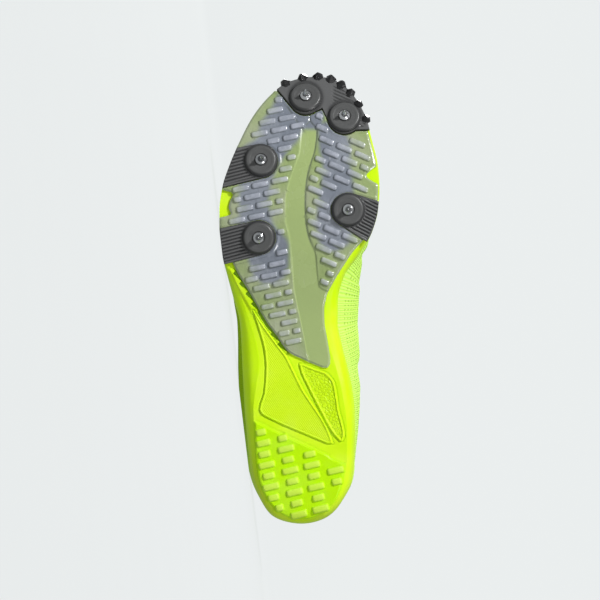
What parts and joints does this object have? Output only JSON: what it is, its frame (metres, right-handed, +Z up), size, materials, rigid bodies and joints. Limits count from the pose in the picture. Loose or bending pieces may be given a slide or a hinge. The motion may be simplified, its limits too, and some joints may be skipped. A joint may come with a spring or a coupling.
{
  "type": "running spike shoe",
  "caption": "Right-foot running spike shoe lying on its side: hollow knit upper with laces, foam midsole, ridged clear forefoot plate, dark hard pods and steel pins.",
  "frame": {"origin": "bottom centre of the bounding box, on the floor", "axes": "+Z up from the floor, with the shoe lying on its lateral side and its medial side up; the toe points to -X and rises a little; the sole faces -Y and the collar opens to +Y"},
  "size_m": [0.2786, 0.1014, 0.1029],
  "materials": {
    "foam": "matt neon yellow-green foam",
    "tread_rubber": "satin neon yellow-green rubber",
    "clear_plate": "glossy smoky clear plastic",
    "hard_pods": "satin dark grey plastic",
    "steel": "polished steel",
    "knit": "neon yellow-green knit",
    "lining": "dark grey fabric",
    "tongue_knit": "neon yellow-green knit",
    "lace": "neon yellow-green flat lace"
  },
  "bodies": {
    "root": {"heel_tread": "tread_rubber", "insole": "lining", "laces": "lace", "midsole": "foam", "pod_front_lateral": "hard_pods", "pod_medial": "hard_pods", "pod_rear_lateral": "hard_pods", "spike_front_lateral": "steel", "spike_medial": "steel", "spike_plate": "clear_plate", "spike_rear_lateral": "steel", "spike_toe_lateral": "steel", "spike_toe_medial": "steel", "toe_pod": "hard_pods", "tongue": "tongue_knit", "upper": "knit"}
  },
  "joints": []
}
